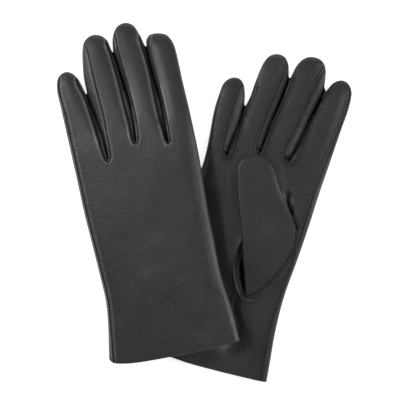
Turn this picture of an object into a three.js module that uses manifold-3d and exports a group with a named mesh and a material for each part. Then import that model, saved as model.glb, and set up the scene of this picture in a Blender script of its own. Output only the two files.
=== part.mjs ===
// A pair of lined leather dress gloves lying flat: the right-hand glove palm up, the left-hand glove
// back up and partly on top of it. Millimetres, +Z up, +Y towards the fingertips.
//
// Each glove is drawn in its own frame: +Y along the hand from the cuff, +X towards the thumb,
// Z across the thickness with 0 at mid-thickness. PALM is +1 where the palm faces +Z and -1 where
// it faces -Z, so one set of functions makes both hands.
import * as THREE from "three";
import { mergeVertices } from "three/addons/utils/BufferGeometryUtils.js";
import Module from "manifold-3d";

// Driving dimensions.
const LEATHER = 0.9;
const LINING = 0.7;
const GAP = 0.3;
const THICK = 9.6; // a flat-lying hand or finger, outside
const EDGE_ROUND = 3.9;
const THUMB_THICK = 8.2;
const THUMB_ROUND = 3.6;
const LEAST_ROUND = 0.8;
const SIDE_STRIP = 6.4; // height of a fourchette between the two finger panels
const STRIP_START = 3; // how far a fourchette's edge is from the finger's centre line
const TIP_CLOSED = 0.85; // in tip radii, how much of a fingertip has no fourchette
const TAIL = 26; // how far a finger's tube runs down into the hand
const HEM = 20;
const CURVE_STEPS = 4;
const EDGE_STEPS = 8;
const THUMB_STEPS = 9;
const HOLE_STEPS = 8;
const WELD = 1e-4;
const FAR = 400; // beyond any part of a glove

// The crotch piece round the bottom of a slit: how far it runs up, down and to each side of it.
const CROTCH_REACH = 30;
const CROTCH_DROP = 4;
const CROTCH_HALF = 5;

const RIGHT = {
  name: "right",
  palm: 1,
  thumb: { base: [24, 61], lean: 0 },
  position: [-2.855, -130.307, THICK / 2],
  rotation: [0, 0, -12.8],
  thumbEdge: [[51.5, -12], [50.6, 22], [50.4, 60], [53.9, 100], [56.6, 135], [57, 166]],
  littleEdge: [[-34.4, 160], [-37.2, 140], [-41.8, 120], [-47, 85], [-48, 45], [-51.5, -12]],
  crotches: { middle_index: [32, 170.5], ring_middle: [7.5, 175.5], little_ring: [-18.6, 166] },
  seam: [[47.6, -20], [45, 24], [44.4, 48], [48.6, 83], [55, 121], [58.5, 168]],
  fingers: {
    little: { root: [-27, 171.5], tip: [-23.4, 228], rootHalf: 8.1, tipHalf: 9.4, slits: [1] },
    ring: { root: [-5.2, 181], tip: [5.6, 253.4], rootHalf: 11.5, tipHalf: 11.3, slits: [-1, 1] },
    middle: { root: [20.5, 181], tip: [33.2, 258], rootHalf: 11.3, tipHalf: 11.3, slits: [-1, 1] },
    index: { root: [46.9, 177], tip: [58.9, 244.6], rootHalf: 13.3, tipHalf: 10.6, slits: [-1] },
  },
};

const LEFT = {
  name: "left",
  palm: -1,
  thumb: { base: [21.5, 61], lean: 7.5 },
  position: [-24.855, -116.907, 22.25],
  rotation: [-1, -12, 8.3],
  thumbEdge: [[53, -12], [51.3, 18], [46.3, 50], [44.5, 81], [42.6, 116], [41.6, 144], [39.6, 164]],
  littleEdge: [[-53.8, 156], [-54, 124], [-51.4, 85], [-47.6, 44], [-52, -12]],
  crotches: { middle_index: [19.5, 164.5], ring_middle: [-5.8, 168], little_ring: [-29.2, 157] },
  seam: [[47.8, -20], [44.2, 40], [40.6, 80], [38.9, 115], [38, 140], [37, 175]],
  fingers: {
    little: { root: [-44.6, 171.5], tip: [-52.6, 228.6], rootHalf: 11.9, tipHalf: 10.2, slits: [1] },
    ring: { root: [-20.3, 181], tip: [-28.6, 254], rootHalf: 11.4, tipHalf: 11.4, slits: [-1, 1] },
    middle: { root: [4.8, 181], tip: [-2.9, 261.4], rootHalf: 11.7, tipHalf: 11.6, slits: [-1, 1] },
    index: { root: [28.4, 177], tip: [22.4, 248.8], rootHalf: 11.1, tipHalf: 11.1, slits: [-1] },
  },
};

// The thumb lies over the palm, drawn from the lower end of its base seam: its outline, and the
// keyhole through which it joins the hand.
const THUMB = {
  inner: [-5, 6],
  tip: { centre: [-16.3, 97.2], radius: 14.3, from: 25, to: 190 },
  outer: [[0, 0], [5.5, 8.2], [16.3, 28.6], [23.4, 55], [22.6, 61.5], [6.2, 87.4]],
  hole: { centre: [5.8, 33.2], half: [6.6, 22], lean: -24 },
};

const FINISHES = {
  leather: { color: 0x3d3d3d, roughness: 0.45, metalness: 0 },
  lining: { color: 0x1c1c1e, roughness: 0.9, metalness: 0 },
};

const wasm = await Module();
wasm.setup();

// A closed geometry as a solid, moved by an optional matrix.
function solid(geometry, matrix = null) {
  const bare = geometry.clone();
  bare.deleteAttribute("normal");
  bare.deleteAttribute("uv");
  if (matrix) bare.applyMatrix4(matrix);
  const merged = mergeVertices(bare, WELD);
  return new wasm.Manifold(
    new wasm.Mesh({
      numProp: 3,
      vertProperties: new Float32Array(merged.attributes.position.array),
      triVerts: new Uint32Array(merged.index.array),
    }),
  );
}

function mesh(name, made, kind) {
  const out = made.getMesh();
  const geometry = new THREE.BufferGeometry();
  geometry.setAttribute("position", new THREE.BufferAttribute(out.vertProperties, 3));
  geometry.setIndex(new THREE.BufferAttribute(out.triVerts, 1));
  geometry.computeVertexNormals();
  const node = new THREE.Mesh(geometry, new THREE.MeshStandardMaterial(FINISHES[kind]));
  node.name = name;
  return node;
}

// A box given by its lowest and highest corners.
function block(low, high, matrix = null) {
  const size = high.map((value, k) => value - low[k]);
  const geometry = new THREE.BoxGeometry(...size);
  geometry.translate(...high.map((value, k) => (value + low[k]) / 2));
  return solid(geometry, matrix);
}

// A flat shape made solid with rounded rims, drawn in by inset on every side.
function pillow(shape, thick, round, inset, matrix = null) {
  const rim = Math.max(round - inset, LEAST_ROUND);
  const depth = thick - 2 * inset - 2 * rim;
  const isLining = inset > LEATHER;
  const geometry = new THREE.ExtrudeGeometry(shape, {
    depth,
    curveSegments: CURVE_STEPS,
    bevelThickness: rim,
    bevelSize: rim,
    bevelOffset: -rim - inset,
    bevelSegments: isLining ? 1 : 2,
  });
  geometry.translate(0, 0, -depth / 2);
  return solid(geometry, matrix);
}

function prism(shape, low, high, matrix = null) {
  const geometry = new THREE.ExtrudeGeometry(shape, {
    depth: high - low,
    curveSegments: HOLE_STEPS,
    bevelEnabled: false,
  });
  geometry.translate(0, 0, low);
  return solid(geometry, matrix);
}

const points = (list) => list.map(([x, y]) => new THREE.Vector2(x, y));

// Continues a shape along a smooth curve through the listed points, in equal steps.
function follow(shape, list, steps) {
  const curve = new THREE.SplineCurve(points(list));
  curve.getSpacedPoints(steps).forEach((p) => shape.lineTo(p.x, p.y));
}

// The hand without its fingers, open below the cuff line.
function handShape(glove) {
  const shape = new THREE.Shape();
  shape.moveTo(...glove.thumbEdge[0]);
  follow(shape, glove.thumbEdge, EDGE_STEPS);
  Object.values(glove.crotches).forEach(([x, y]) => shape.lineTo(x, y));
  follow(shape, glove.littleEdge, EDGE_STEPS);
  return shape;
}

// A finger along +Y from its root line, with a tail that runs down into the hand.
function fingerShape(finger) {
  const { rootHalf, tipHalf } = finger;
  const straight = fingerLength(finger) - tipHalf;
  const shape = new THREE.Shape();
  shape.moveTo(-rootHalf, -TAIL);
  shape.lineTo(rootHalf, -TAIL);
  shape.lineTo(rootHalf, 0);
  shape.absarc(0, straight, tipHalf, 0, Math.PI, false);
  shape.lineTo(-rootHalf, 0);
  return shape;
}

function thumbShape() {
  const { centre, radius, from, to } = THUMB.tip;
  const [start, end] = [from, to].map(THREE.MathUtils.degToRad);
  const shape = new THREE.Shape();
  shape.moveTo(...THUMB.inner);
  follow(shape, THUMB.outer, THUMB_STEPS);
  shape.absarc(...centre, radius, start, end, false);
  return shape;
}

function thumbHoleShape() {
  const { centre, half, lean } = THUMB.hole;
  const shape = new THREE.Shape();
  shape.absellipse(...centre, ...half, 0, 2 * Math.PI, false, THREE.MathUtils.degToRad(lean));
  return shape;
}

function thumbFrame({ thumb: { base, lean } }) {
  const turn = new THREE.Matrix4().makeRotationZ(THREE.MathUtils.degToRad(lean));
  return new THREE.Matrix4().makeTranslation(base[0], base[1], 0).multiply(turn);
}

function fingerLength({ root, tip }) {
  return Math.hypot(tip[0] - root[0], tip[1] - root[1]);
}

// How a finger's own frame sits in the glove's.
function fingerFrame({ root, tip }) {
  const turn = new THREE.Matrix4().makeRotationZ(-Math.atan2(tip[0] - root[0], tip[1] - root[1]));
  return new THREE.Matrix4().makeTranslation(root[0], root[1], 0).multiply(turn);
}

const inOrder = (a, b) => [Math.min(a, b), Math.max(a, b)];
const above = (y, matrix = null) => block([-FAR, y, -FAR], [FAR, FAR, FAR], matrix);
const below = (y, matrix = null) => block([-FAR, -FAR, -FAR], [FAR, y, FAR], matrix);

// The half of space on the palm side or the back side, half a gap from mid-thickness.
function half(side) {
  const [low, high] = inOrder(side * (GAP / 2), side * FAR);
  return block([-FAR, -FAR, low], [FAR, FAR, high]);
}

function fingerMeshes(glove, fingerName, finger) {
  const prefix = `${glove.name}_${fingerName}`;
  const shape = fingerShape(finger);
  const tube = (inset) => pillow(shape, THICK, EDGE_ROUND, inset);
  const rooted = (made) => made.intersect(above(GAP / 2));
  const skin = rooted(tube(0).subtract(tube(LEATHER)));
  const top = fingerLength(finger) - TIP_CLOSED * finger.tipHalf;
  const strip = (side, grow) => {
    const [left, right] = inOrder(side * (STRIP_START - grow), side * FAR);
    const tall = SIDE_STRIP / 2 + grow;
    return block([left, -FAR, -tall], [right, top + grow, tall]);
  };
  const panels = finger.slits.reduce((left, side) => left.subtract(strip(side, GAP)), skin);
  const group = new THREE.Group();
  group.applyMatrix4(fingerFrame(finger));
  group.add(mesh(`${prefix}_back`, panels.intersect(half(-glove.palm)), "leather"));
  group.add(mesh(`${prefix}_palm`, panels.intersect(half(glove.palm)), "leather"));
  finger.slits.forEach((side) => {
    const where = side > 0 ? "thumbward" : "littleward";
    group.add(mesh(`${prefix}_fourchette_${where}`, skin.intersect(strip(side, 0)), "leather"));
  });
  const inner = LEATHER + GAP;
  const lining = rooted(tube(inner).subtract(tube(inner + LINING)));
  group.add(mesh(`${prefix}_lining`, lining, "lining"));
  return group;
}

// The hand, its open finger stubs and its open cuff, drawn in by inset.
function handSolid(glove, inset, stubEnd) {
  return Object.values(glove.fingers).reduce(
    (made, finger) => {
      const frame = fingerFrame(finger);
      const tube = pillow(fingerShape(finger), THICK, EDGE_ROUND, inset, frame);
      return made.add(stubEnd === null ? tube : tube.intersect(below(stubEnd, frame)));
    },
    pillow(handShape(glove), THICK, EDGE_ROUND, inset),
  );
}

// A cutter round the bottom of one slit, between the panels.
function crotchCutter(glove, name, grow) {
  const [x, y] = glove.crotches[name];
  const [lower, upper] = name.split("_").map((part) => glove.fingers[part]);
  const lean = [lower, upper]
    .map(({ root, tip }) => Math.atan2(tip[0] - root[0], tip[1] - root[1]))
    .reduce((sum, angle) => sum + angle / 2, 0);
  const frame = new THREE.Matrix4()
    .makeTranslation(x, y, 0)
    .multiply(new THREE.Matrix4().makeRotationZ(-lean));
  const wide = CROTCH_HALF + grow;
  const tall = SIDE_STRIP / 2 + grow;
  return block([-wide, -CROTCH_DROP - grow, -tall], [wide, CROTCH_REACH, tall], frame);
}

// The palm panel's side of the seams, for cutting the hand's skin in two.
function palmSide(glove, grow) {
  const shape = new THREE.Shape();
  const seam = glove.seam.map(([x, y]) => [x + grow, y]);
  shape.moveTo(-FAR, seam[0][1]);
  follow(shape, seam, EDGE_STEPS);
  shape.lineTo(seam.at(-1)[0], FAR);
  shape.lineTo(-FAR, FAR);
  return prism(shape, ...inOrder(glove.palm * (GAP / 2 - grow), glove.palm * FAR));
}

function handMeshes(glove) {
  const group = new THREE.Group();
  const inner = LEATHER + GAP;
  const beyondCuff = above(0);
  const thumbHole = prism(thumbHoleShape(), ...inOrder(0, glove.palm * FAR), thumbFrame(glove));
  const skin = handSolid(glove, 0, -GAP / 2)
    .subtract(handSolid(glove, LEATHER, null))
    .intersect(beyondCuff)
    .subtract(thumbHole);
  const crotches = Object.keys(glove.crotches);
  const panels = crotches.reduce((left, name) => left.subtract(crotchCutter(glove, name, GAP)), skin);
  group.add(mesh(`${glove.name}_hand_palm`, panels.intersect(palmSide(glove, 0)), "leather"));
  group.add(mesh(`${glove.name}_hand_back`, panels.subtract(palmSide(glove, GAP)), "leather"));
  crotches.forEach((name) => {
    const piece = skin.intersect(crotchCutter(glove, name, 0));
    group.add(mesh(`${glove.name}_crotch_${name}`, piece, "leather"));
  });

  const lining = handSolid(glove, inner, -GAP / 2)
    .subtract(handSolid(glove, inner + LINING, null))
    .intersect(above(HEM + GAP))
    .subtract(thumbHole);
  group.add(mesh(`${glove.name}_hand_lining`, lining, "lining"));
  const shape = handShape(glove);
  const facing = pillow(shape, THICK, EDGE_ROUND, inner)
    .subtract(pillow(shape, THICK, EDGE_ROUND, inner + LEATHER))
    .intersect(above(GAP))
    .intersect(below(HEM));
  group.add(mesh(`${glove.name}_cuff_facing`, facing, "leather"));
  return group;
}

function thumbMeshes(glove) {
  const group = new THREE.Group();
  const lift = glove.palm * (THICK / 2 + GAP + THUMB_THICK / 2);
  group.applyMatrix4(thumbFrame(glove));
  group.position.z = lift;
  const shape = thumbShape();
  const tube = (inset) => pillow(shape, THUMB_THICK, THUMB_ROUND, inset);
  const mouth = prism(thumbHoleShape(), ...inOrder(0, -glove.palm * FAR));
  const skin = tube(0).subtract(tube(LEATHER)).subtract(mouth);
  const inner = LEATHER + GAP;
  const lining = tube(inner).subtract(tube(inner + LINING)).subtract(mouth);
  group.add(mesh(`${glove.name}_thumb_leather`, skin, "leather"));
  group.add(mesh(`${glove.name}_thumb_lining`, lining, "lining"));
  return group;
}

function gloveGroup(glove) {
  const group = new THREE.Group();
  group.position.set(...glove.position);
  group.rotation.order = "ZYX";
  group.rotation.set(...glove.rotation.map(THREE.MathUtils.degToRad));
  group.add(handMeshes(glove));
  group.add(thumbMeshes(glove));
  Object.entries(glove.fingers).forEach(([name, finger]) => {
    group.add(fingerMeshes(glove, name, finger));
  });
  return group;
}

const gloves = new THREE.Group();
gloves.add(gloveGroup(RIGHT));
gloves.add(gloveGroup(LEFT));

export default gloves;
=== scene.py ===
"""A pair of lined black leather gloves: the right palm up, the left back up and partly on top of it.

Each glove is drawn in its own frame, in millimetres: +Y from the cuff along the hand, +X towards
the thumb, +Z up out of the upper sheet, with 0 at mid-thickness. place() takes it to the row frame.
"""

import math

import bpy
import numpy as np
from mathutils import Euler, Matrix, Vector, noise
from mathutils.bvhtree import BVHTree
from mathutils.geometry import delaunay_2d_cdt


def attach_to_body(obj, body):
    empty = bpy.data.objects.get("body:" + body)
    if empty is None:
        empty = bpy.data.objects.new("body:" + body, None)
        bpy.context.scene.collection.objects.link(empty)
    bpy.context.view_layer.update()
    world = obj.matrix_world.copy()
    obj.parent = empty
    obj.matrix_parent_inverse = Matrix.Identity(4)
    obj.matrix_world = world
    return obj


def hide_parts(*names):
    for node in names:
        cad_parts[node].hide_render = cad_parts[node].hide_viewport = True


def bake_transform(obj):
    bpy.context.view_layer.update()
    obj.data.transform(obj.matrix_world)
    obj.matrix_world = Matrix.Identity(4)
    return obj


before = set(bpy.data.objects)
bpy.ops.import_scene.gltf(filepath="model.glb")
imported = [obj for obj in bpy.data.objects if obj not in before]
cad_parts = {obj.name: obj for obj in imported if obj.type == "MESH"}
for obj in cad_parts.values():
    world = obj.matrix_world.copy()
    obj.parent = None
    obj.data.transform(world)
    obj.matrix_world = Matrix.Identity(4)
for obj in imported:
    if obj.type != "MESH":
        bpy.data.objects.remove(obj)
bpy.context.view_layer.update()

MM = 0.001
HALF_THICK = 4.8
RIM_THICK = 0.15  # half the thickness right at a glove's outline
THUMB_SOFT = 7.5  # mid-height of the soft thumb where it lies flat on the palm
THUMB_HALF = 2.1  # half its thickness there
THUMB_ROOT = (5.3, 0.7)  # mid-height and half thickness where it comes out of the palm
SLIT_GAP = 0.36
SIDE_RADIUS = 9.5  # how far in from its outline the hand is rounded
TIP_RADIUS = 11.0
SLIT_RADIUS = 2.6  # at a slit's bottom; it grows towards the fingertips
UNDER_SEAM_INSET = 2.2  # from a slit to the seams on the sheet that faces the table
SPLIT = -3.0  # where a finger's pieces part from the hand's, from its root line
EDGE_RINGS = (0.35, 0.75, 1.1, 1.8, 2.8)  # how far in from its outline a glove has rows of points
PLAIN_RINGS = (0.9, 2.4)  # the same for its lining
CLOSEST = 0.3  # between two points of a mesh
EDGE_CLEAR = 0.28  # between a mesh's outline and its other points
SAME_PLACE = 0.02
BESIDE_SEAMS = (-1.7, -1.1, -0.5, 0.5, 1.1, 1.7)  # how far to the sides of a seam it has more
HEM = 20.0
FACING_DEPTH = 1.25  # how far inside the leather's face the cuff facing lies
LINING_DEPTH = 1.8
ABOVE = 30  # higher than any part of a glove
STITCH_RAISED = 0.08
MIDDLE_OF_VIEW = (37.2, 113.6)  # on the left glove, under the camera
VIEW_HEIGHT = 1090.0
PAINTED_HIGHLIGHT = (0.19, 0.19, 0.192)  # painted highlight: the leather's colour on the brightest painted seam lips
# painted shade: the colour the leather darkens to where its painted shade is deepest
PAINTED_SHADE = (0.002, 0.002, 0.002)
DEEP_SHADE = 0.8  # above this painted shade, faces get the black, dull painted-shade material
FINGERS = ("little", "ring", "middle", "index")
SLITS = ("little_ring", "ring_middle", "middle_index")

RIGHT = {
    "name": "right",
    "palm": 1,
    "shaded_wall": "thumbward",
    "stitch_inset": 1.9,
    "droop": {"thumb": 0, "little": 0, "tips": 0},
    "position": (-2.855, -130.307, 4.8),
    "rotation": (0, 0, -12.8),
    "thumb_base": ((24, 61), 0),
    "cuff": [(-50.5, 4), (-24.6, 1.9), (-10, 0.4), (18.5, -0.6), (52.8, -1)],
    "thumb_edge": [
        (52.8, -1), (52, 15), (51, 32.3), (50.8, 52), (51.8, 71.4), (55.2, 98.3), (58.1, 124.9),
        (60.3, 151.3), (63.2, 178), (66, 204.6), (67.9, 220), (68.5, 230),
    ],
    "little_edge": [
        (-34.3, 214), (-35.3, 204), (-35.4, 194.7), (-34.8, 181.8), (-34.4, 168.9), (-34.8, 155.9),
        (-37.2, 140), (-41.8, 120), (-47, 85), (-48, 45), (-50.5, 4),
    ],
    "tips": {
        "index": [
            (68.5, 230), (67.8, 237), (65, 242), (60.5, 244.8), (55.8, 244.2), (51.3, 240.6),
            (47.6, 233.5),
        ],
        "middle": [
            (45.6, 236), (45, 243), (43.7, 250), (41, 255), (36.3, 257.7), (29.2, 257.5),
            (23.9, 254), (20.3, 247.7), (18, 238),
        ],
        "ring": [
            (16.3, 237.5), (15.2, 243.5), (13.2, 249.2), (9.4, 253.2), (3.6, 254), (-1.9, 251.4),
            (-5, 246.5), (-6.9, 239.6), (-8.7, 227.9), (-9.8, 217), (-11.8, 208.5),
        ],
        "little": [
            (-13.1, 208.5), (-13.8, 213.5), (-15, 219), (-17.2, 224.6), (-20.9, 228.1),
            (-26, 228.3), (-30.6, 225.4), (-33.4, 220.5), (-34.3, 214),
        ],
    },
    "slits": {
        "little_ring": [(-12.4, 208), (-13, 196.3), (-14.6, 185.9), (-16.6, 177.3), (-18.3, 166.8)],
        "ring_middle": [(16.9, 237.5), (14.6, 218.7), (12.3, 206.1), (9.6, 191.3), (7, 174.8)],
        "middle_index": [
            (46.6, 235), (43.6, 221.2), (40.4, 208.4), (37.9, 195.7), (34.6, 184), (31, 172.9),
        ],
    },
    # The seams on the upper sheet either side of each slit, from the littler finger's tip, round
    # the slit's bottom, and up to the next finger's tip.
    "seams": {
        "little_ring": [
            (-14.2, 224.5), (-18, 223.9), (-20.6, 217), (-21.7, 204.4), (-22.5, 190.1),
            (-22.4, 178), (-22, 169.5), (-20.6, 165.9), (-18, 164.9), (-15.2, 166.2), (-13.4, 170),
            (-13, 177), (-12.6, 186), (-11.6, 196.4), (-10.2, 207.5), (-8.3, 219), (-8, 225),
            (-10, 230),
        ],
        "ring_middle": [
            (16.5, 249.6), (13.6, 247.6), (12.6, 240.6), (10.4, 232), (8.3, 219.3), (6.1, 206.7),
            (4.3, 192.1), (3.4, 181.9), (4.1, 175.8), (7.2, 173), (10.4, 175), (11.4, 181),
            (12.7, 194.1), (14.9, 206.5), (17, 218.9), (19.2, 231), (19.6, 239), (18, 244),
        ],
        "middle_index": [
            (45.4, 253.5), (42.8, 250.6), (39.8, 240.7), (37.2, 230), (34.6, 219.3), (31.3, 202.3),
            (26.7, 187.1), (25.6, 178.8), (27.4, 173), (31, 171), (35, 172.3), (37.2, 176.8),
            (38.4, 183.8), (40.6, 200.4), (43.3, 215.2), (47.2, 229.2), (52, 238.6), (57, 242.4),
            (59, 246.5),
        ],
    },
    "edge_seam": [
        (61, 243.4), (65, 239), (66.4, 230), (65.2, 215.8), (62.9, 199), (60, 180.2), (57.4, 163),
        (55.4, 148), (54, 130), (52.6, 112), (50.3, 89.5), (47.6, 66), (45.6, 45.9), (45.6, 27.8),
        (47.4, -2),
    ],
    "edge_beyond": [(90, -2), (90, 260), (61, 260)],
    # The middle of each finger's root, where the CAD's joint is, and of its tip.
    "axes": {
        "little": ((-27, 171.5), (-23.4, 228)),
        "ring": ((-5.2, 181), (5.6, 253.4)),
        "middle": ((20.5, 181), (33.2, 258)),
        "index": ((46.9, 177), (58.9, 244.6)),
    },
    # Ridges and valleys on the upper sheet: a line, a height and a width.
    "folds": [
        ([(-15.8, 152), (-9, 122), (-2, 92)], 0.45, 5.0),
        ([(-27, 150), (-24, 120)], -0.3, 5.0),
        ([(38, 149.5), (45, 148.5), (53, 148)], 0.35, 1.4),
        ([(42, 139.5), (48, 141), (56, 144)], 0.4, 1.3),
        ([(36, 154), (46, 152.5), (54, 152)], -0.3, 1.6),
        ([(40, 144.6), (48, 145)], -0.3, 1.5),
        ([(36.6, 146.5), (38, 140.5), (41.6, 134)], -2.0, 2.6),
        ([(50, 133), (55, 150), (60, 172)], 0.9, 6.0),
        ([(-19.4, 168.2), (-17, 168.8)], -1.3, 1.3),
        ([(5.4, 176.2), (8.2, 176.8)], -1.1, 1.0),
        ([(28.6, 174), (32, 175.2)], -1.5, 1.5),
        ([(31, 170), (33.5, 159), (36, 150)], -0.8, 5.0),
        ([(-13, 160), (-5, 130), (3, 104), (10, 82)], -0.7, 4.0),
        ([(42.2, 134), (46, 126.5), (49.3, 122.3)], -1.5, 1.3),
        ([(44.5, 136), (49, 128), (51, 124)], 0.5, 1.3),
        ([(14.5, 60.5), (14.4, 50), (22, 37)], -0.75, 1.5),
        ([(10.8, 62), (9, 50), (13, 36)], -0.5, 1.7),
        ([(18.8, 58), (20.5, 48), (27, 38)], 0.35, 1.9),
        ([(5, 108), (1, 128), (-4, 144)], -0.35, 3.0),
        ([(-20, 60), (-6, 30), (2, 12)], 0.3, 6.0),
        ([(-40, 154), (-33, 138), (-21, 112), (-8, 83), (9, 54), (21, 24)], -4.0, 11.0),
    ],
}

LEFT = {
    "name": "left",
    "palm": -1,
    "shaded_wall": "littleward",
    "stitch_inset": 0.7,
    "droop": {"thumb": 3.5, "little": 1.5, "tips": 8},
    "position": (-24.855, -116.907, 22.25),
    "rotation": (-1, -12, 8.3),
    "thumb_base": ((21.5, 61), 7.5),
    "cuff": [
        (-52.5, 2.4), (-50.5, -1.6), (-44.4, -3.7), (-28.1, -4.6), (0.6, -3.1), (31, -0.9),
        (52.9, 2.3),
    ],
    "thumb_edge": [
        (52.9, 2.3), (51.3, 18.1), (49.2, 33.9), (46.3, 49.9), (44.9, 65.7), (44.3, 81.4),
        (43.2, 97.2), (42.6, 115), (42.2, 136.4), (41.5, 154.1), (39.6, 181.9), (37.3, 207.7),
        (36.2, 223.7), (35.2, 233.6),
    ],
    "little_edge": [
        (-64.6, 214.5), (-62.8, 195), (-60.6, 169.1), (-58.4, 143.3), (-56.4, 117.4), (-53.5, 91.6),
        (-50.7, 65.7), (-48.9, 46), (-49.7, 27.5), (-52.5, 2.4),
    ],
    "tips": {
        "index": [
            (35.2, 233.6), (33.4, 239.7), (29.6, 244.9), (23.1, 247.2), (16.6, 247), (13.2, 243.6),
            (12.7, 238.6),
        ],
        "middle": [
            (11.6, 238.6), (9.4, 246), (7.2, 251.8), (4, 257), (-1.8, 259.6), (-8.2, 257.9),
            (-12, 253.3), (-13.9, 247.7), (-14.6, 238.4),
        ],
        "ring": [
            (-15.4, 238.4), (-16.9, 244.6), (-19, 249.7), (-23.3, 253.2), (-29.3, 254.4),
            (-34.8, 252.2), (-38.1, 247.8), (-39.7, 241), (-40.7, 232), (-41.2, 222),
            (-40.4, 209.5),
        ],
        "little": [
            (-41.4, 209.5), (-43.5, 216), (-46, 222), (-49.8, 227), (-55, 229.2), (-60.2, 227.4),
            (-63.6, 222.4), (-64.6, 214.5),
        ],
    },
    "slits": {
        "little_ring": [(-40.7, 208.6), (-38.2, 197), (-35.2, 184), (-32.5, 171.3), (-30.2, 156.2)],
        "ring_middle": [
            (-15, 238), (-13, 230.5), (-10.5, 215.4), (-8.1, 199.2), (-6.7, 184), (-6.1, 166.5),
        ],
        "middle_index": [
            (12.1, 238.2), (13.2, 227), (15, 211.3), (17, 195.2), (18.1, 179.3), (19.3, 162.6),
        ],
    },
    "seams": {
        "little_ring": [
            (-45.5, 226.5), (-46.6, 221), (-45, 215), (-42.6, 208.5), (-40.9, 202), (-39.4, 194),
            (-37.2, 183), (-35.2, 171.6), (-33.6, 161.5), (-31.6, 154.8), (-29.2, 153.4),
            (-27.4, 156.9), (-27.2, 164), (-28.1, 176), (-28.4, 188), (-29.8, 201), (-31.4, 212.6),
            (-32.8, 228), (-33.8, 240), (-35.6, 246.8), (-39, 252),
        ],
        "ring_middle": [
            (-16.5, 251), (-18.3, 246), (-16.6, 238), (-14.9, 229), (-13.5, 219), (-12.2, 207.5),
            (-10.6, 192), (-9.1, 180), (-8.3, 170), (-7.4, 165.4), (-5.4, 163.8), (-3.5, 166),
            (-3, 172), (-3.2, 184), (-4.8, 200), (-6.8, 216), (-8.6, 231), (-9.6, 241),
            (-10.5, 250), (-14.5, 256),
        ],
        "middle_index": [
            (9.5, 250), (8.4, 245), (9.9, 238), (11.4, 229), (12.7, 218.5), (13.8, 203), (15, 187),
            (16.9, 172), (18.2, 163.5), (20, 160.2), (21.8, 163), (21.9, 170), (20.8, 183),
            (19.3, 199), (17.7, 211), (16.3, 225), (15.3, 235), (15.6, 241), (17.5, 246),
            (19.5, 251),
        ],
    },
    "edge_seam": [
        (-60, 227), (-61.6, 214), (-59.2, 195), (-57, 169), (-54.8, 143.3), (-52.8, 117.4),
        (-50, 91.6), (-47.2, 65.7), (-45.5, 46), (-46.2, 27.5), (-48.5, -8),
    ],
    "edge_beyond": [(-90, -8), (-90, 240), (-60, 240)],
    "axes": {
        "little": ((-44.6, 171.5), (-52.6, 228.6)),
        "ring": ((-20.3, 181), (-28.6, 254)),
        "middle": ((4.8, 181), (-2.9, 261.4)),
        "index": ((28.4, 177), (22.4, 248.8)),
    },
    "folds": [
        ([(2, 48), (4, 66), (2, 84)], 0.35, 6.0),
        ([(-14, 40), (-12, 60)], 0.3, 5.0),
        ([(20, 30), (17, 52)], 0.3, 5.0),
        ([(-38, 34), (-30, 60), (-28, 90)], -0.3, 7.0),
        ([(-5, 110), (5, 135), (6, 150)], 0.25, 8.0),
        ([(30, 60), (26, 100), (28, 130)], -0.22, 8.0),
        ([(38, 40), (33, 26), (24, 14)], -0.3, 5.0),
    ],
}

# The thumb, from the lower end of its base seam: up its inner side, over its tip, down its outer
# side, and along the seam that joins it to the palm.
THUMB_FREE = [(-2.4, 0.9), (-3.6, 4), (-7.5, 16.9), (-11.2, 28.1), (-15.5, 43.2), (-20.5, 58.2),
              (-26.7, 76.9), (-30.6, 92), (-31.7, 98.4), (-30.2, 104.3), (-25.8, 108.9), (-18.5, 111.5),
              (-11.3, 110.7), (-5.4, 106.6), (-0.5, 99), (4.5, 90.1), (10.5, 81.4), (17.9, 71),
              (24.1, 61.3)]
THUMB_SEWN = [(24.1, 61.3), (24.9, 52.4), (23.9, 41), (20.6, 30), (16.1, 21.2), (10.2, 11.8),
              (3.9, 4.3), (-2.4, 0.9)]
KEYHOLE_BANK = [(-14.5, 43), (-16.2, 36.5), (-16.8, 26.5), (-15, 16.7), (-11.3, 7.4), (-6.5, 0.3),
                (-1.8, -2.1), (5, -0.2), (12.3, 9.8), (18.3, 19.8), (22.8, 28.2), (26.3, 39.5),
                (27.1, 52), (26.6, 60)]

HOLLOW_POINTS = 58  # how many of the bank's points, a millimetre apart, the hollow runs along


# ---------------------------------------------------------------- lines and regions on the flat


def curve(points, step):
    """A smooth line through the points, with a point about every step millimetres."""
    p = np.array(points, float)
    p = np.vstack([2 * p[0] - p[1], p, 2 * p[-1] - p[-2]])
    out = []
    for a, b, c, d in zip(p[:-3], p[1:-2], p[2:-1], p[3:]):
        count = max(1, round(np.linalg.norm(c - b) / step))
        t = np.arange(count)[:, None] / count
        out.append(0.5 * (2 * b + (c - a) * t + (2 * a - 5 * b + 4 * c - d) * t**2
                          + (3 * b - a - 3 * c + d) * t**3))
    return np.vstack([*out, p[-2:-1]])


def sideways(line):
    """The unit normals on the left hand of a line."""
    t = np.gradient(line, axis=0)
    t /= np.maximum(np.linalg.norm(t, axis=1), 1e-9)[:, None]
    return np.stack([-t[:, 1], t[:, 0]], 1)


def inside(points, polygon):
    x, y = points[:, 0], points[:, 1]
    found = np.zeros(len(points), bool)
    for (x0, y0), (x1, y1) in zip(polygon, np.roll(polygon, -1, 0)):
        crosses = (y0 > y) != (y1 > y)
        if crosses.any():
            at = x0 + (y[crosses] - y0) * (x1 - x0) / (y1 - y0)
            found[crosses] ^= x[crosses] < at
    return found


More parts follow.
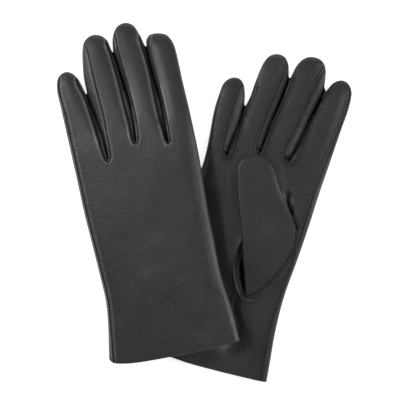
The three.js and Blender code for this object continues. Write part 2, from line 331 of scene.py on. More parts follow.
def from_line(points, line, radius=None, flange=None):
    """Each point's distance to a line, or its least share of the line's radius beyond its flange."""
    a, b = line[:-1], line[1:]
    d = b - a
    length = np.maximum((d**2).sum(1), 1e-12)
    out = np.empty(len(points))
    for k in range(0, len(points), 1500):
        p = points[k : k + 1500, None, :]
        t = np.clip(((p - a) * d).sum(2) / length, 0, 1)
        away = np.sqrt(((p - a - t[..., None] * d) ** 2).sum(2))
        if flange is not None:
            away = np.maximum(away - (flange[:-1] + t * (flange[1:] - flange[:-1])), 0)
        if radius is not None:
            away /= radius[:-1] + t * (radius[1:] - radius[:-1])
        out[k : k + 1500] = away.min(1)
    return out


def smoothstep(x):
    x = np.clip(x, 0, 1)
    return x * x * (3 - 2 * x)


def bell(x, width):
    return np.exp(-((x / width) ** 2))


class Thinner:
    """Keeps points that are far enough from the points kept so far."""

    def __init__(self, cell=1.0):
        self.cell, self.cells, self.kept = cell, {}, []

    def add(self, points, apart):
        for p in points:
            i, j = int(p[0] // self.cell), int(p[1] // self.cell)
            near = (q for u in (i - 1, i, i + 1) for v in (j - 1, j, j + 1)
                    for q in self.cells.get((u, v), ()))
            if all((p[0] - q[0]) ** 2 + (p[1] - q[1]) ** 2 >= apart * apart for q in near):
                self.cells.setdefault((i, j), []).append(p)
                self.kept.append(p)


def hexes(low, high, pitch):
    rows = np.arange(low[1], high[1], pitch * 0.866)
    columns = np.arange(low[0], high[0], pitch)
    x = columns[None, :] + (np.arange(len(rows)) % 2)[:, None] * pitch / 2
    return np.stack([x.ravel(), np.repeat(rows, len(columns))], 1)


def triangulate(outline, lines, rings, pitch, beside=()):
    """A flat mesh of the outline, cut along the lines and finer near them and near the edge."""
    thin = Thinner()
    thin.add(outline, SAME_PLACE)
    edges = [(k, (k + 1) % len(outline)) for k in range(len(outline))]
    count = len(outline)
    fixed = [np.array(outline)]
    for line in lines:
        edges += [(count + k, count + k + 1) for k in range(len(line) - 1)]
        count += len(line)
        fixed.append(line)
        thin.add(line, SAME_PLACE)
    first = len(thin.kept)
    normal = -sideways(np.vstack([outline[-1:], outline, outline[:1]]))[1:-1]
    extra = [outline - normal * away for away in rings]
    for line in lines:
        extra += [line + sideways(line) * away for away in beside]
    closed = np.vstack([outline, outline[:1]])
    rows = [(spots, CLOSEST) for spots in extra]
    rows.append((hexes(outline.min(0), outline.max(0), pitch), 0.62 * pitch))
    for spots, apart in rows:
        spots = spots[inside(spots, outline)]
        spots = spots[from_line(spots, closed) > EDGE_CLEAR]
        thin.add(spots, apart)
    points = np.vstack(fixed + [np.array(thin.kept[first:])])
    made = delaunay_2d_cdt([Vector(p) for p in points], edges, [], 1, 1e-5, False)
    flat = np.array([tuple(p) for p in made[0]])
    faces = np.array([tuple(f) for f in made[2]])
    return flat, faces[inside(flat[faces].mean(1), outline)]


def relax(values, faces, free, rounds):
    """Evens values out over a mesh where free is true."""
    pairs = np.vstack([faces[:, [0, 1]], faces[:, [1, 2]], faces[:, [2, 0]]])
    pairs = np.vstack([pairs, pairs[:, ::-1]])
    count = np.bincount(pairs[:, 0], minlength=len(values))
    for _ in range(rounds):
        mean = np.bincount(pairs[:, 0], values[pairs[:, 1]], len(values)) / np.maximum(count, 1)
        values = np.where(free, 0.5 * values + 0.5 * mean, values)
    return values


def waves(points, size, seed):
    """Slow, shallow unevenness, between about -1 and 1."""
    return np.array([noise.noise(Vector((p[0] / size, p[1] / size, seed))) for p in points])


# ---------------------------------------------------------------- a glove's hand and fingers


def banks(line):
    """A slit's two sides: down the thumb-side one, and back up the other."""
    middle = curve(line, 1.1)
    away = sideways(middle) * SLIT_GAP / 2
    return middle + away, (middle - away)[::-1]


def side_radius(side):
    """How far in a side of the glove is rounded: a little further along the fingers."""
    return SIDE_RADIUS + 2 * smoothstep((side[:, 1] - 150) / 30)


def outline_of(glove):
    """The glove's outline without its cuff line, from the cuff's thumb side round to its other
    side, and at each point the radius that the edge is rounded to and the width of the flat
    flange that the fingers are pressed together by."""
    parts, radii = [curve(glove["thumb_edge"], 1.3)], []
    radii.append(side_radius(parts[0]))
    flanges = [np.zeros(len(parts[0]))]
    for k, name in enumerate(reversed(FINGERS)):
        tip = curve(glove["tips"][name], 1.0)
        parts.append(tip[1:])
        radii.append(np.full(len(tip) - 1, TIP_RADIUS))
        flanges.append(np.zeros(len(tip) - 1))
        if k < len(SLITS):
            for side in banks(glove["slits"][SLITS[-1 - k]]):
                parts.append(side)
                up = side[:, 1] - side[:, 1].min()
                radii.append(SLIT_RADIUS + 4.4 * smoothstep(up / 28) + 4.0 * smoothstep(up / 60))
                flanges.append(0.25 + 0.6 * smoothstep(up / 22) - 0.8 * smoothstep((up - 36) / 26))
    parts.append(curve(glove["little_edge"], 1.3)[1:])
    radii.append(side_radius(parts[-1]))
    flanges.append(np.zeros(len(parts[-1])))
    return np.vstack(parts), np.concatenate(radii), np.concatenate(flanges)


def settle(glove, flat):
    """The flat places once the leather has dropped straight down and the fingers' facing sides
    have been moved together until they just touch."""
    moved = flat.copy()
    down = droop(glove, flat)
    moved[:, 0] += math.tan(math.radians(glove["rotation"][1])) * down
    moved += (flat - MIDDLE_OF_VIEW) * down[:, None] / VIEW_HEIGHT
    for name in SLITS:
        line = curve(glove["slits"][name], 1.1)
        away = from_line(flat, line)
        side = np.where(finger_of(glove, flat) <= SLITS.index(name), 1.0, -1.0)
        reach = smoothstep(1.3 - away / 2.0)
        moved[:, 0] += side * reach * (SLIT_GAP / 2 + 0.05)
    return moved


def finger_axis(glove, name):
    """The middle of a finger's root, and the direction that the finger points in."""
    root, tip = (np.array(p, float) for p in glove["axes"][name])
    way = (tip - root) / np.linalg.norm(tip - root)
    return root, way


def finger_of(glove, points):
    """Which finger's strip of the glove each point is in, from 0 for the little finger."""
    which = np.zeros(len(points), int)
    for name in SLITS:
        line = np.array(glove["slits"][name], float)[::-1]
        which += np.interp(points[:, 1], line[:, 1], line[:, 0]) < points[:, 0]
    return which


def split_lines(glove, outline):
    """The line across each finger where its pieces part from the hand's."""
    lines = []
    for k, name in enumerate(FINGERS):
        root, way = finger_axis(glove, name)
        across = np.array([way[1], -way[0]])
        row = root + way * SPLIT + across * np.arange(-25, 25, 0.05)[:, None]
        row = row[inside(row, outline) & (finger_of(glove, row) == k)]
        ends = row[0] - across * 0.06, row[-1] + across * 0.06
        length = np.linalg.norm(ends[1] - ends[0])
        near = np.r_[0, np.array(EDGE_RINGS) + 0.06]
        far = np.linspace(near[-1] + 1.2, length - near[-1] - 1.2, max(2, int(length / 1.3) - 5))
        at = np.r_[near, far, length - near[::-1]]
        lines.append(ends[0] + (ends[1] - ends[0]) / length * at[:, None])
    return lines


def under_seams(glove):
    """The seams each side of a slit on the sheet that faces the table."""
    found = {}
    for name in SLITS:
        line = curve(glove["slits"][name], 4.0)
        away = sideways(line) * UNDER_SEAM_INSET
        bottom = line[-1:] - np.array([[0, UNDER_SEAM_INSET]])
        found[name] = np.vstack([line - away, bottom, (line + away)[::-1]])
    return found


def to_glove(glove, points):
    """Thumb points, moved to the glove's frame."""
    (x, y), lean = glove["thumb_base"]
    c, s = math.cos(math.radians(lean)), math.sin(math.radians(lean))
    p = np.array(points, float)
    return np.stack([x + c * p[:, 0] - s * p[:, 1], y + s * p[:, 0] + c * p[:, 1]], 1)


def seam_relief(points, line, region, groove=1.1, lip=0.5, step=0.8, stitch=0.0):
    """A sewn line: a groove, a raised lip on each side, the furrow that its stitches pull, and a
    step down into the region."""
    away = from_line(points, line)
    within = inside(points, region)
    signed = np.where(within, -away, away)
    relief = -groove * bell(signed, 0.45) + lip * bell(signed - 1.0, 0.6)
    relief += 0.6 * lip * bell(signed + 1.0, 0.6)
    if stitch:
        relief -= 0.28 * bell(signed - stitch, 0.4)
    return relief - step * smoothstep(-signed / 0.9 + 0.3) * within


def keyhole(glove):
    """The bank, the thumb's sewn line, and the hollow between them that the thumb comes out of."""
    bank = curve(to_glove(glove, KEYHOLE_BANK), 1.0)
    sewn = curve(to_glove(glove, THUMB_SEWN), 1.0)
    return bank, sewn, np.vstack([bank[:HOLLOW_POINTS], sewn[::-1]])


def keyhole_relief(glove, points):
    """The palm round the thumb's base: a seam bank, and the hollow that the thumb comes out of."""
    bank, sewn, hollow = keyhole(glove)
    outer = from_line(points, bank)
    within = inside(points, bank)
    relief = 0.45 * bell(np.where(within, outer + 1.2, outer - 0.9), 0.9)
    relief -= 0.6 * bell(outer, 0.5)
    relief -= 3.1 * smoothstep(from_line(points, hollow) / 2.2) * inside(points, hollow)
    relief -= 0.3 * bell(outer - 1.3, 0.35) * within
    relief -= 0.6 * bell(from_line(points, sewn), 0.5)
    return relief


def folds_relief(glove, points):
    relief = 0.1 * waves(points, 30, 3.1) + 0.04 * waves(points, 9, 8.7)
    for line, height, width in glove["folds"]:
        relief += height * bell(from_line(points, curve(line, 2.0)), width)
    return relief


def droop(glove, points):
    """How far soft leather with nothing under it hangs below the glove's middle plane."""
    x, y = points[:, 0], points[:, 1]
    falls = glove["droop"]
    down = falls["thumb"] * smoothstep((x - 26) / 24) * (1 - 0.6 * smoothstep((y - 140) / 50))
    down += falls["little"] * smoothstep((-x - 22) / 28)
    return down + falls["tips"] * smoothstep((y - 160) / 110) * smoothstep((x + 70) / 90)


def lip_shade(away, stitched):
    """Below 0 where highlight is painted on a seam's raised lips, above 0 where shade is painted in its
    groove and its furrow.
    """
    painted_lip_light = 0.85 * bell(away - 1.15, 0.45) + 0.5 * bell(away - stitched - 0.8, 0.4)
    dark = np.maximum(0.97 * bell(away, 0.6), 0.75 * bell(away - stitched, 0.4))
    return dark - painted_lip_light * (1 - dark)


def seam_shade(glove, points, lines):
    """How much shade is painted into the seams, between the fingers and into deep narrow folds, or
    below 0 how much highlight is painted on the seams' lips."""
    away = np.min([from_line(points, line) for line in lines], axis=0)
    shade = lip_shade(away, glove["stitch_inset"])
    finger = finger_of(glove, points)
    # Painted shade on the walls of each slit, spreading wider on the shaded wall's side.
    for k, name in enumerate(SLITS):
        line = curve(glove["slits"][name], 1.1)
        up = smoothstep((points[:, 1] - line[:, 1].min() - 12) / 42)
        facing = (finger > k) if glove["shaded_wall"] == "littleward" else (finger <= k)
        beyond = (from_line(points, line) - 0.4 - 0.5 * up) / np.where(facing, 0.6 + 3.4 * up, 0.6)
        shade = np.maximum(shade, 0.97 * (1 - smoothstep(beyond)) - (beyond > 1))
    # Painted shade in deep, narrow folds and pits.
    for line, height, width in glove["folds"]:
        if height < -1 and width < 3:
            shade = np.maximum(shade, bell(from_line(points, curve(line, 2.0)), width))
    return shade


def keyhole_shade(glove, points):
    """The same round the thumb's base: painted shade and highlight along two sewn lines, and painted
    ripple lines and painted shade in the hollow.
    """
    bank, sewn, hollow = keyhole(glove)
    outer = from_line(points, bank)
    shade = np.maximum(lip_shade(from_line(points, sewn), 1.9), 0.8 * bell(outer, 0.4))
    ripples = 0.85 * bell(outer - 1.3, 0.3) - 0.7 * bell(outer - 0.65, 0.25)
    ripples -= 0.6 * bell(outer - 1.95, 0.3)
    deep = 0.97 * smoothstep((outer - 2.3) / 1.2)
    return np.where(inside(points, hollow), np.where(deep > 0.05, deep, ripples), shade)


def round_edge(share):
    share = np.clip(share, 0, 1)
    return np.sqrt(1 - (1 - share) ** 2.05)


def hand_heights(glove, flat, faces, edge, plain=False):
    """The heights of the upper and lower sheets over each flat point."""
    share = from_line(flat, *edge)
    rim = from_line(flat, edge[0]) < 1e-4
    base = RIM_THICK + (HALF_THICK - RIM_THICK) * round_edge(share)
    base = relax(base, faces, share > 0.4, 10)
    top, low = base.copy(), -base.copy()
    calm = smoothstep(share / 0.5)
    top += folds_relief(glove, flat) * calm
    low -= 0.2 * waves(flat, 22, 12.3) * calm
    around_thumb = keyhole_relief(glove, flat)
    if plain:
        around_thumb = np.minimum(around_thumb, 0)
    if glove["palm"] > 0:
        top += around_thumb
    else:
        low -= around_thumb
    if not plain:
        for line, under in zip(glove["seams"].values(), under_seams(glove).values()):
            seam = curve(line, 1.0)
            top += seam_relief(flat, seam, seam, stitch=glove["stitch_inset"])
            low -= seam_relief(flat, under, under, 0.3, 0.1, 0.3) * calm
        seam = curve(glove["edge_seam"], 1.5)
        region = np.vstack([seam, glove["edge_beyond"]])
        top += seam_relief(flat, seam, region, 1.0, 0.4, 0.2)
    top[rim] = low[rim] = 0
    down = droop(glove, flat)
    return np.maximum(top, low + 0.05 * ~rim) - down, low - down, rim


class Surface:
    """A closed or cuffed pair of sheets as one mesh, with its normals and the flat place of each
    vertex. Faces carry +1 for the upper sheet and -1 for the lower."""

    def __init__(self, flat, faces, top, low, rim, shade=None):
        shade = np.zeros((2, len(flat))) if shade is None else np.array(shade)
        self.shade = np.r_[shade[0], shade[1][~rim]]
        middle = (top + low) / 2
        self.middle = np.r_[middle, middle[~rim]]
        self.side = np.r_[np.where(rim, 0, 1), -np.ones((~rim).sum())]
        under = np.cumsum(~rim) - 1 + len(flat)
        under[rim] = np.flatnonzero(rim)
        self.co = np.vstack([np.column_stack([flat, top]), np.column_stack([flat, low])[~rim]])
        self.flat = np.vstack([flat, flat[~rim]])
        a, b = flat[faces[:, 1]] - flat[faces[:, 0]], flat[faces[:, 2]] - flat[faces[:, 0]]
        clockwise = a[:, 0] * b[:, 1] - a[:, 1] * b[:, 0] < 0
        faces = np.where(clockwise[:, None], faces[:, ::-1], faces)
        lower = under[faces][:, ::-1]
        keep = ~((lower == faces[:, ::-1]).all(1))
        self.faces = np.vstack([faces, lower[keep]])
        self.sheet = np.r_[np.ones(len(faces)), -np.ones(keep.sum())]
        self.centre = self.flat[self.faces].mean(1)
        self.normal = normals(self.co, self.faces)

    def drawn_in(self, inset):
        """The vertices moved in along their normals, but never past the middle of the glove."""
        co = self.co - self.normal * inset
        half = np.maximum(self.side * (co[:, 2] - self.middle), 0.08)
        return np.column_stack([co[:, :2], self.middle + self.side * half])


def normals(co, faces):
    a, b, c = (co[faces[:, k]] for k in range(3))
    n = np.cross(b - a, c - a)
    out = np.zeros_like(co)
    for k in range(3):
        np.add.at(out, faces[:, k], n)
    return out / np.maximum(np.linalg.norm(out, axis=1), 1e-12)[:, None]


def hand_surface(glove, plain=False):
    edge = outline_of(glove)
    loop = np.vstack([edge[0], curve(glove["cuff"], 1.3)[1:-1]])
    cuts = split_lines(glove, loop)
    if plain:
        flat, faces = triangulate(loop, cuts, PLAIN_RINGS, 3.2)
    else:
        cuts += [curve(line, 1.0) for line in glove["seams"].values()]
        cuts.append(curve(glove["edge_seam"], 1.5)[:-2])
        if glove["palm"] > 0:
            cuts += keyhole(glove)[:2]
        flat, faces = triangulate(loop, cuts, EDGE_RINGS, 1.5, BESIDE_SEAMS)
    heights = hand_heights(glove, flat, faces, edge, plain)
    shade = None
    # Painted shade and painted highlight for the upper and lower sheets, with those round the thumb's
    # base on the palm.
    if not plain:
        upper = [curve(line, 1.5) for line in (*glove["seams"].values(), glove["edge_seam"])]
        lower = list(under_seams(glove).values())
        shade = [seam_shade(glove, flat, seams) for seams in (upper, lower)]
        side = 0 if glove["palm"] > 0 else 1
        around = keyhole_shade(glove, flat)
        shade[side] = np.where(np.abs(around) > np.abs(shade[side]), around, shade[side])
    return Surface(settle(glove, flat), faces, *heights, shade)


def hand_labels(glove, surface):
    """The CAD node that each face of the hand's surface stands for."""
    centre, sheet = surface.centre, surface.sheet
    finger = finger_of(glove, centre)
    beyond = np.zeros(len(centre), bool)
    for k, name in enumerate(FINGERS):
        root, way = finger_axis(glove, name)
        beyond |= (finger == k) & ((centre - root) @ way > SPLIT)
    upper, lower = ("palm", "back") if glove["palm"] > 0 else ("back", "palm")
    edge = inside(centre, np.vstack([curve(glove["edge_seam"], 1.5), glove["edge_beyond"]]))
    slit = np.full(len(centre), -1)
    under = under_seams(glove)
    for k, name in enumerate(SLITS):
        above = inside(centre, curve(glove["seams"][name], 1.0)) & (sheet > 0)
        below = inside(centre, under[name]) & (sheet < 0)
        slit[above | below] = k
    labels = []
    for k in range(len(centre)):
        side = upper if sheet[k] > 0 and not edge[k] else lower
        part = FINGERS[finger[k]] if beyond[k] else "hand"
        if slit[k] < 0:
            labels.append(f"{part}_{side}")
        elif part == "hand":
            labels.append(f"crotch_{SLITS[slit[k]]}")
        else:
            facing = "thumbward" if finger[k] <= slit[k] else "littleward"
            labels.append(f"{part}_fourchette_{facing}")
    return np.array(labels)


# ---------------------------------------------------------------- the thumb


def thumb_surface(glove, plain=False):
    free = curve(to_glove(glove, THUMB_FREE), 1.1)
    sewn = curve(to_glove(glove, THUMB_SEWN), 1.1)
    outline = np.vstack([free, sewn[1:-1]])[::-1]
    if plain:
        flat, faces = triangulate(outline, [], PLAIN_RINGS, 3.0)
    else:
        flat, faces = triangulate(outline, [], (0.35, 0.9, 1.7, 2.8), 1.7)
    closed = np.vstack([free, sewn[1:]])
    from_ends = np.minimum(np.arange(len(free)), np.arange(len(free))[::-1]) * 1.1
    radius = np.r_[3.8 - 0.8 * smoothstep(1 - from_ends / 24), np.full(len(sewn) - 1, 3.0)]
    share = from_line(flat, closed, radius)
    rim = from_line(flat, closed) < 1e-4
    body = relax(round_edge(share), faces, share > 0.15, 10)
    lift = smoothstep(from_line(flat, sewn) / 44)
    middle = THUMB_ROOT[0] + (THUMB_SOFT - THUMB_ROOT[0]) * lift
    half = THUMB_ROOT[1] + (THUMB_HALF - THUMB_ROOT[1]) * lift
    far = middle + half * body + (0.14 * waves(flat, 20, 5.5) + 0.05 * waves(flat, 8, 1.5)) * body
    near = middle - (half - 0.2) * body
    far[rim] = near[rim] = middle[rim]
    top, low = (far, near) if glove["palm"] > 0 else (-near, -far)
    down = droop(glove, flat)
    # Painted shade along the thumb's sewn line and down its outer free edge.
    outer = free[len(free) * 3 // 5 :]
    shade = np.maximum(0.9 * bell(from_line(flat, sewn), 0.5), 0.6 * bell(from_line(flat, outer), 1.5))
    return Surface(settle(glove, flat), faces, top - down, low - down, rim, (shade, shade))


# ---------------------------------------------------------------- meshes


def place(glove):
    turn = Euler([math.radians(a) for a in glove["rotation"]], "XYZ").to_matrix().to_4x4()
    return Matrix.Scale(MM, 4) @ Matrix.Translation(glove["position"]) @ turn


def to_row(glove, co, is_direction=False):
    m = np.array(place(glove))
    moved = np.asarray(co) @ m[:3, :3].T
    return moved / MM if is_direction else moved + m[:3, 3]


def piece(name, co, faces, material, normal=None, shade=None):
    """A mesh in the scene. Faces where its painted shade is deepest get the black painted-shade
    material.
    """
    mesh = bpy.data.meshes.new(name)
    mesh.from_pydata([tuple(p) for p in co], [], [tuple(int(i) for i in f) for f in faces])
    mesh.update()
    mesh.polygons.foreach_set("use_smooth", [True] * len(mesh.polygons))
    if normal is not None:
        mesh.normals_split_custom_set_from_vertices([tuple(n) for n in normal])
    if shade is not None:
        stored = mesh.attributes.new("shade", "FLOAT", "POINT")
        stored.data.foreach_set("value", shade.astype(np.float32))
    mesh.materials.append(material)
    if shade is not None and (shade > DEEP_SHADE).any():
        mesh.materials.append(LOOKS["painted_shade_look"])
        deep = (shade[np.array(faces)] > DEEP_SHADE).all(1)
        mesh.polygons.foreach_set("material_index", deep.astype(np.int32))
    obj = bpy.data.objects.new(name, mesh)
    bpy.context.scene.collection.objects.link(obj)
    return obj


def cut_piece(name, glove, surface, chosen, material, inset=0.0):
    """The chosen faces of a surface as a piece, drawn in along its normals by inset."""
    used, index = np.unique(surface.faces[chosen], return_inverse=True)
    co = (surface.drawn_in(inset) if inset else surface.co)[used]
    normal = to_row(glove, surface.normal[used], is_direction=True)
    return piece(name, to_row(glove, co), index.reshape(-1, 3), material, normal, surface.shade[used])


def attach(obj, glove, label):
    """Rides a hand piece on its hand; a finger's or thumb's piece only has its placement baked into its
    mesh.
    """
    side, part = glove["name"], label.split("_")[0]
    if part == "thumb":
        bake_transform(obj)
    elif part in FINGERS:
        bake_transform(obj)
    else:
        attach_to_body(obj, f"{side}_hand")


def cuff_lip(glove, surface):
    """The folded edge of the cuff: the leather turns over it and runs back inside as a facing."""
    cuff = settle(glove, curve(glove["cuff"], 1.3))
    on_cuff = from_line(surface.flat, cuff) < 0.02
    top = np.flatnonzero(on_cuff & (surface.side >= 0))
    low = np.flatnonzero(on_cuff & (surface.side < 0))
    top = top[np.argsort(surface.flat[top, 0])]
    low = low[np.argsort(-surface.flat[low, 0])]
    loop = np.r_[top, low]
    out = surface.normal[loop].copy()
    out[:, 1] = 0
    out /= np.linalg.norm(out, axis=1)[:, None]
    turns = [(0.0, 0.0), (-0.3, 0.12), (-0.5, 0.45), (-0.5, 0.8), (-0.2, 1.1), (0.6, 1.3), (3.0, 1.35)]
    rings = [surface.co[loop] + np.array([0, y, 0]) - out * inwards for y, inwards in turns]
    count = len(loop)
    faces = [(r * count + k, r * count + (k + 1) % count, (r + 1) * count + (k + 1) % count,
              (r + 1) * count + k) for r in range(len(rings) - 1) for k in range(count)]
    name = f"{glove['name']}_cuff_lip"
    return piece(name, to_row(glove, np.vstack(rings)), faces, LOOKS["leather"])


# ---------------------------------------------------------------- stitches


def thread(centre, along, up, length, radius):
    """One stitch: a small bar with rounded ends, lying in the leather."""
    across = np.cross(up, along)
    ends = [(-0.5, 0.35), (-0.34, 0.9), (0.0, 1.0), (0.34, 0.9), (0.5, 0.35)]
    around = [(math.cos(a), math.sin(a)) for a in np.linspace(0, 2 * math.pi, 6, endpoint=False)]
    co = [centre + along * (x * length) + (across * c + up * s) * radius * r
          for x, r in ends for c, s in around]
    faces = [(6 * i + k, 6 * i + (k + 1) % 6, 6 * i + 6 + (k + 1) % 6, 6 * i + 6 + k)
             for i in range(4) for k in range(6)]
    return co, faces + [tuple(range(5, -1, -1)), tuple(range(24, 30))]


def stitches(surface, line, offset, pitch=2.5, length=1.45, radius=0.3):
    """Stitches along a seam on the upper sheet, as (place on the flat, vertices, faces)."""
    tree = BVHTree.FromPolygons([Vector(c) for c in surface.co], surface.faces.tolist())
    path = curve(line, 0.5)
    path = path + sideways(path) * offset
    run = np.r_[0, np.cumsum(np.linalg.norm(np.diff(path, axis=0), axis=1))]
    out = []
    for at in np.arange(pitch, run[-1] - pitch, pitch):
        spot, ahead = (np.array([np.interp(s, run, path[:, k]) for k in (0, 1)])
                       for s in (at - 0.3, at + 0.3))
        hits = [tree.ray_cast(Vector((*p, ABOVE)), Vector((0, 0, -1))) for p in (spot, ahead)]
        if any(h[0] is None for h in hits):
            continue
        a, b = (np.array(h[0]) for h in hits)
        along = (b - a) / np.linalg.norm(b - a)
        up = np.array(hits[0][1])
        up -= along * (up @ along)
        up /= np.linalg.norm(up)
        co, faces = thread((a + b) / 2 + up * STITCH_RAISED, along, up, length, radius)
        out.append(((spot + ahead) / 2, co, faces))
    return out


def stitch_pieces(glove, made):
    """Stitches gathered into one piece for the hand and one for each finger."""
    spots = np.array([spot for spot, _, _ in made])
    finger = finger_of(glove, spots)
    groups = {}
    for k, (spot, co, faces) in enumerate(made):
        root, way = finger_axis(glove, FINGERS[finger[k]])
        part = FINGERS[finger[k]] if (spot - root) @ way > SPLIT else "hand"
        groups.setdefault(part, []).append((co, faces))
    for part, threads in groups.items():
        co, faces = [], []
        for c, f in threads:
            faces += [tuple(i + len(co) for i in face) for face in f]
            co += c
        name = f"{glove['name']}_{part}_stitches"
        obj = piece(name, to_row(glove, np.array(co)), faces, LOOKS["thread"])
        attach(obj, glove, part)


# ---------------------------------------------------------------- materials


def shader(name, colour, roughness, **sockets):
    material = bpy.data.materials.new(name)
    material.use_nodes = True
    nodes, links = material.node_tree.nodes, material.node_tree.links
    main = nodes["Principled BSDF"]
    main.inputs["Base Color"].default_value = (*colour, 1)
    main.inputs["Roughness"].default_value = roughness
    for socket, value in sockets.items():
        main.inputs[socket.replace("_", " ")].default_value = value
    return material, nodes, links, main


def texture(nodes, links, kind, scale, **settings):
    made = nodes.new(f"ShaderNodeTex{kind}")
    made.inputs["Scale"].default_value = scale
    for socket, value in settings.items():
        made.inputs[socket].default_value = value
    links.new(nodes["Texture Coordinate"].outputs["Object"], made.inputs["Vector"])
    return made


def ramp(nodes, links, source, low, high, stops=(0.3, 0.7)):
    """A colour that goes from low to high as source goes between the stops."""
    made = nodes.new("ShaderNodeValToRGB")
    for element, stop, colour in zip(made.color_ramp.elements, stops, (low, high)):
        element.position = stop
        element.color = (*colour, 1)
    links.new(source, made.inputs["Fac"])
    return made.outputs["Color"]


def spread(nodes, links, source, low, high):
    """A number that goes from low to high as source goes from 0.25 to 0.75."""
    made = nodes.new("ShaderNodeMapRange")
    for socket, value in zip(("From Min", "From Max", "To Min", "To Max"), (0.25, 0.75, low, high)):
        made.inputs[socket].default_value = value
    links.new(source, made.inputs["Value"])
    return made.outputs["Result"]


def bump(nodes, links, height, strength, distance, under=None):
    made = nodes.new("ShaderNodeBump")
    made.inputs["Strength"].default_value = strength
    made.inputs["Distance"].default_value = distance
    links.new(height, made.inputs["Height"])
    if under is not None:
        links.new(under, made.inputs["Normal"])
    return made.outputs["Normal"]


def mixed(nodes, links, share, low, high):
    """A colour that goes from the socket low to the colour high as share goes from 0 to 1."""
    made = nodes.new("ShaderNodeMix")
    made.data_type = "RGBA"
    made.inputs["B"].default_value = (*high, 1)
    links.new(low, made.inputs["A"])
    links.new(share, made.inputs["Factor"])
    return made.outputs["Result"]


def scaled(nodes, links, source, factor, added=None):
    """The source times the factor, and plus another number if one is added."""
    made = nodes.new("ShaderNodeMath")
    made.operation = "MULTIPLY_ADD"
    made.inputs[1].default_value = factor
    made.inputs[2].default_value = 0
    links.new(source, made.inputs[0])
    if added is not None:
        links.new(added, made.inputs[2])
    return made.outputs["Value"]


def leather(name, dark, light, roughness):
    """Smooth nappa: fine pebbled grain, faint creases, slow changes of tone and gloss, and a
    paler tone painted as highlight or a darker tone painted as shade where the mesh's shade says so."""
    material, nodes, links, main = shader(name, dark, roughness, Specular_IOR_Level=0.42,
                                          Sheen_Weight=0.08, Sheen_Roughness=0.4)
    nodes.new("ShaderNodeTexCoord")
    cloudy = texture(nodes, links, "Noise", 30, Detail=6, Roughness=0.6)
    tone = ramp(nodes, links, cloudy.outputs["Fac"], dark, light)
    gloss = spread(nodes, links, cloudy.outputs["Fac"], roughness + 0.05, roughness - 0.04)
    painted_light_attribute = nodes.new("ShaderNodeAttribute")
    painted_light_attribute.attribute_name = "shade"
    shade = painted_light_attribute.outputs["Fac"]
    # Painted highlight lightens the tone where shade is below 0; painted shade darkens it where shade
    # is above 0.
    tone = mixed(nodes, links, scaled(nodes, links, shade, -1), tone, PAINTED_HIGHLIGHT)
    links.new(mixed(nodes, links, shade, tone, PAINTED_SHADE), main.inputs["Base Color"])
    links.new(scaled(nodes, links, shade, 0.3, gloss), main.inputs["Roughness"])
    grain = texture(nodes, links, "Voronoi", 1150, Randomness=0.9)
    pores = texture(nodes, links, "Noise", 620, Detail=4, Roughness=0.6)
    creases = texture(nodes, links, "Noise", 110, Detail=6, Roughness=0.65, Distortion=0.6)
    normal = bump(nodes, links, creases.outputs["Fac"], 0.22, 0.001)
    normal = bump(nodes, links, pores.outputs["Fac"], 0.3, 0.0002, normal)
    normal = bump(nodes, links, grain.outputs["Distance"], 0.3, 0.00012, normal)
    links.new(normal, main.inputs["Normal"])
    return material


def knit(name):
    """A fine brushed knit lining."""
    material, nodes, links, main = shader(name, (0.012, 0.012, 0.013), 0.9, Sheen_Weight=0.5,
                                          Sheen_Roughness=0.5, Specular_IOR_Level=0.2)
    nodes.new("ShaderNodeTexCoord")
    fuzz = texture(nodes, links, "Noise", 900, Detail=3, Roughness=0.7)
    links.new(ramp(nodes, links, fuzz.outputs["Fac"], (0.008, 0.008, 0.009), (0.022, 0.022, 0.024)),
              main.inputs["Base Color"])
    rows = texture(nodes, links, "Wave", 420, Distortion=3)
    normal = bump(nodes, links, rows.outputs["Fac"], 0.6, 0.0003)
    links.new(bump(nodes, links, fuzz.outputs["Fac"], 0.4, 0.0002, normal), main.inputs["Normal"])
    return material


def black_painted_shade_material(name):
    """A black, dull material for faces where painted shade is deepest, in a seam or between two
    fingers.
    """
    material, nodes, links, main = shader(name, (0.003, 0.003, 0.003), 1.0, Specular_IOR_Level=0.05)
    nodes.new("ShaderNodeTexCoord")
    specks = texture(nodes, links, "Noise", 700, Detail=3)
    links.new(ramp(nodes, links, specks.outputs["Fac"], (0.001, 0.001, 0.001), (0.006, 0.006, 0.006)),
              main.inputs["Base Color"])
    return material


def waxed_thread(name):
    material, nodes, links, main = shader(name, (0.012, 0.012, 0.012), 0.5)
    nodes.new("ShaderNodeTexCoord")
    ply = texture(nodes, links, "Wave", 1800, Distortion=1)
    links.new(ramp(nodes, links, ply.outputs["Fac"], (0.008, 0.008, 0.008), (0.018, 0.018, 0.018)),
              main.inputs["Base Color"])
    links.new(bump(nodes, links, ply.outputs["Fac"], 0.5, 0.0001), main.inputs["Normal"])
    return material


# ---------------------------------------------------------------- the studio


def camera():
    data = bpy.data.cameras.new("camera")
    data.sensor_width, data.lens = 36, 125
    data.clip_start, data.clip_end = 0.05, 20
    made = bpy.data.objects.new("camera", data)
    made.location = (-4.41 * MM, 0.86 * MM, 10 * MM + 0.3152 * data.lens / data.sensor_width)
    bpy.context.scene.collection.objects.link(made)
    bpy.context.scene.camera = made


def light(name, at, size, watts, towards=(0, 0, 0.01)):
    data = bpy.data.lights.new(name, "AREA")
    data.shape, data.size, data.size_y, data.energy = "RECTANGLE", *size, watts
    made = bpy.data.objects.new(name, data)
    made.location = at
    made.rotation_euler = (Vector(towards) - Vector(at)).to_track_quat("-Z", "Y").to_euler()
    bpy.context.scene.collection.objects.link(made)


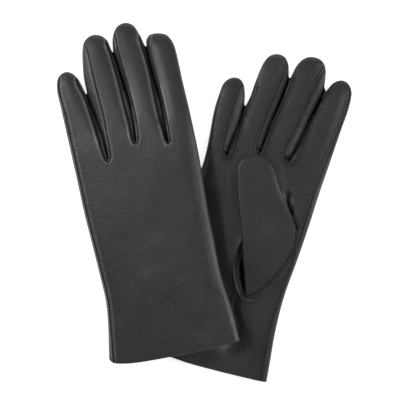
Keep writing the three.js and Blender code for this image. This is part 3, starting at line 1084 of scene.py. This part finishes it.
def studio():
    camera()
    light("top_softbox", (-0.24, 0.15, 1.4), (1.05, 1.0), 2.0)
    light("left_softbox", (-0.95, 0.35, 0.75), (0.4, 1.0), 6)
    light("right_softbox", (1.0, 0.1, 0.7), (0.4, 1.3), 6.5)
    light("fingertip_softbox", (0, 1.1, 0.6), (1.2, 0.4), 2)
    scene = bpy.context.scene
    scene.view_settings.view_transform = "Standard"
    scene.world = bpy.data.worlds.new("world")
    scene.world.use_nodes = True
    nodes, links = scene.world.node_tree.nodes, scene.world.node_tree.links
    height = nodes.new("ShaderNodeSeparateXYZ")
    links.new(nodes.new("ShaderNodeTexCoord").outputs["Generated"], height.inputs["Vector"])
    pale, dim = (0.8, 0.8, 0.8), (0.1, 0.1, 0.1)
    glow = ramp(nodes, links, height.outputs["Z"], pale, dim, (0.1, 0.35))
    links.new(glow, nodes["Background"].inputs["Color"])
    sweep = piece("floor", [(-3, -3, 0), (3, -3, 0), (3, 3, 0), (-3, 3, 0)], [(0, 1, 2, 3)],
                  shader("paper", (0.9, 0.9, 0.9), 0.9, Emission_Color=(1, 1, 1, 1),
                         Emission_Strength=0.8)[0])
    sweep.location.z = -0.3 * MM


# ---------------------------------------------------------------- the gloves


def skin(glove, surface, chosen, node, part, slot, inset=0.0, ending="skin"):
    """The chosen faces as a piece that stands in for a CAD node, which it hides; only a hand's piece
    rides with its part.
    """
    name = f"{glove['name']}_{node}"
    obj = cut_piece(f"{name}_{ending}", glove, surface, chosen, LOOKS[slot], inset)
    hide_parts(name)
    attach(obj, glove, part)


def build_hand(glove):
    surface = hand_surface(glove)
    labels = hand_labels(glove, surface)
    for label in np.unique(labels):
        slot = "fourchette_leather" if "fourchette" in label or "crotch" in label else "leather"
        skin(glove, surface, labels == label, label, label, slot)
    lip = cuff_lip(glove, surface)
    attach(lip, glove, "hand")
    made = []
    for line in glove["seams"].values():
        made += stitches(surface, line, -glove["stitch_inset"])
    made += stitches(surface, glove["edge_seam"], -0.7 if glove["palm"] > 0 else 0.7)
    stitch_pieces(glove, made)


def build_lining(glove):
    """The knit lining of the hand and fingers, and the leather facing inside the cuff."""
    surface = hand_surface(glove, plain=True)
    labels = hand_labels(glove, surface)
    parts = np.array([l.split("_")[0] if l.split("_")[0] in FINGERS else "hand" for l in labels])
    hem = (parts == "hand") & (surface.centre[:, 1] < HEM)
    for part in (*FINGERS, "hand"):
        chosen = (parts == part) & ~hem
        skin(glove, surface, chosen, f"{part}_lining", part, "lining", LINING_DEPTH, "knit")
    skin(glove, surface, hem, "cuff_facing", "hand", "leather", FACING_DEPTH)


def build_thumb(glove):
    for slot, plain, inset in (("leather", False, 0), ("lining", True, LINING_DEPTH)):
        surface = thumb_surface(glove, plain)
        everything = np.ones(len(surface.faces), bool)
        skin(glove, surface, everything, f"thumb_{slot}", "thumb", slot, inset)


studio()
LOOKS = {
    "leather": leather("black_nappa", (0.026, 0.026, 0.027), (0.042, 0.042, 0.043), 0.35),
    "fourchette_leather": leather("black_nappa_fourchette", (0.026, 0.026, 0.027),
                                  (0.034, 0.034, 0.035), 0.4),
    "lining": knit("black_knit"),
    "thread": waxed_thread("black_thread"),
    "painted_shade_look": black_painted_shade_material("black_painted_shade"),
}
for each in (RIGHT, LEFT):
    build_hand(each)
    build_lining(each)
    build_thumb(each)
